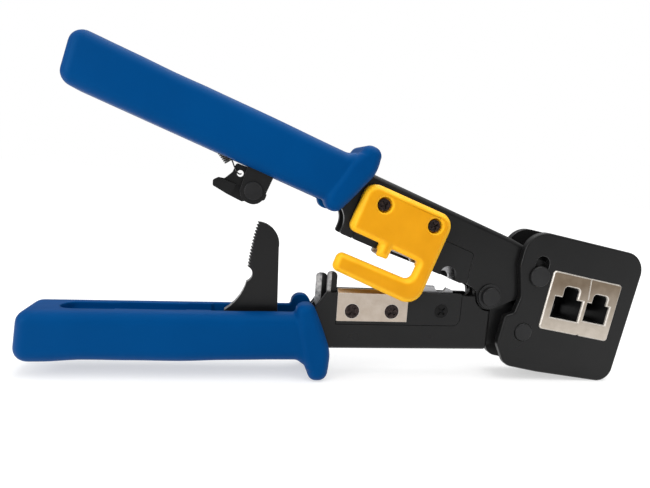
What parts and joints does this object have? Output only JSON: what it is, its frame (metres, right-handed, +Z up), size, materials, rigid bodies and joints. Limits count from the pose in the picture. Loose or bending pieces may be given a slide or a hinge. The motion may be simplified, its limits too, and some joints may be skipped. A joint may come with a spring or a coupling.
{
  "type": "ratcheting modular plug crimping tool",
  "caption": "Hand crimping tool with blue moulded grips, ratchet rack and pawl, guarded cable blades and a hinged head with a modular plug die plate.",
  "frame": {"origin": "centre of the bounding box's bottom face, on the surface the tool stands on when set on edge with its handles open", "axes": "+X along the tool from the grips to the crimping head, -Y toward the front with the blade guard and plug openings, +Z up, across the open handles"},
  "size_m": [0.2172, 0.022, 0.1055],
  "materials": {
    "black_steel": "satin black coating on steel sheet",
    "jaw_steel": "satin black coating on solid steel",
    "black_fastener": "black oxide, slightly worn",
    "nickel_plate": "satin nickel plating",
    "blade_steel": "ground tool steel",
    "spring_steel": "drawn spring wire",
    "blue_grip": "soft satin moulded plastic",
    "yellow_guard": "semi-gloss moulded plastic"
  },
  "bodies": {
    "lower_handle": {"lower_arm": "black_steel", "alignment_fork": "black_steel", "lower_jaw": "jaw_steel", "cutting_blade": "nickel_plate", "cutting_blade_screws": "black_fastener", "lower_jaw_screw": "black_fastener", "lower_notch_blade": "blade_steel", "main_pivot_pin": "black_fastener", "pivot_washers": "black_fastener", "return_spring": "spring_steel", "ratchet_rack": "black_steel", "rack_rivets": "black_fastener", "lower_grip": "blue_grip"},
    "upper_handle": {"upper_arm": "black_steel", "upper_jaw": "jaw_steel", "stripping_blade": "blade_steel", "upper_notch_blade": "blade_steel", "upper_jaw_screws": "black_fastener", "blade_guard": "yellow_guard", "guard_screws": "black_fastener", "upper_grip": "blue_grip", "pawl_pin": "black_fastener", "spring_anchor_pin": "black_fastener", "pawl_spring": "spring_steel"},
    "pawl": {"pawl_lever": "black_steel"},
    "head": {"head_front_plate": "black_steel", "head_rear_plate": "black_steel", "die_plate": "nickel_plate", "die_block": "jaw_steel", "head_spacers": "black_fastener", "head_screws": "black_fastener", "head_pivot_pin": "black_fastener", "head_pivot_washers": "black_fastener"},
    "ram": {"ram_block": "jaw_steel", "wide_contact_punch": "blade_steel", "narrow_contact_punch": "blade_steel", "trimming_blade": "blade_steel", "trimming_blade_screws": "black_fastener", "drive_pin": "black_fastener", "drive_pin_clip": "spring_steel"}
  },
  "joints": [
    {"name": "handle_close", "type": "hinge", "parent": "lower_handle", "child": "upper_handle", "pos_m": [0.04894, 0, 0.03076], "axis": [0, -1, 0], "range_deg": [0, 17.5], "stiffness_Nm_per_rad": 0.6, "springref_deg": -34.38},
    {"name": "pawl_turn", "type": "hinge", "parent": "upper_handle", "child": "pawl", "pos_m": [-0.03809, 0, 0.0624], "axis": [0, -1, 0], "range_deg": [-25, 25], "stiffness_Nm_per_rad": 0.03},
    {"name": "head_turn", "type": "hinge", "parent": "lower_handle", "child": "head", "pos_m": [0.06244, 0, 0.01852], "axis": [0, -1, 0], "range_deg": [0, 9.17]},
    {"name": "ram_slide", "type": "slide", "parent": "head", "child": "ram", "axis": [0.1545, 0, 0.988], "range_m": [0, 0.0045]}
  ],
  "couplings": [
    {"joint": "head_turn", "follows": "handle_close", "ratio": 0.52329},
    {"joint": "ram_slide", "follows": "handle_close", "m_per_rad": 0.014706}
  ]
}
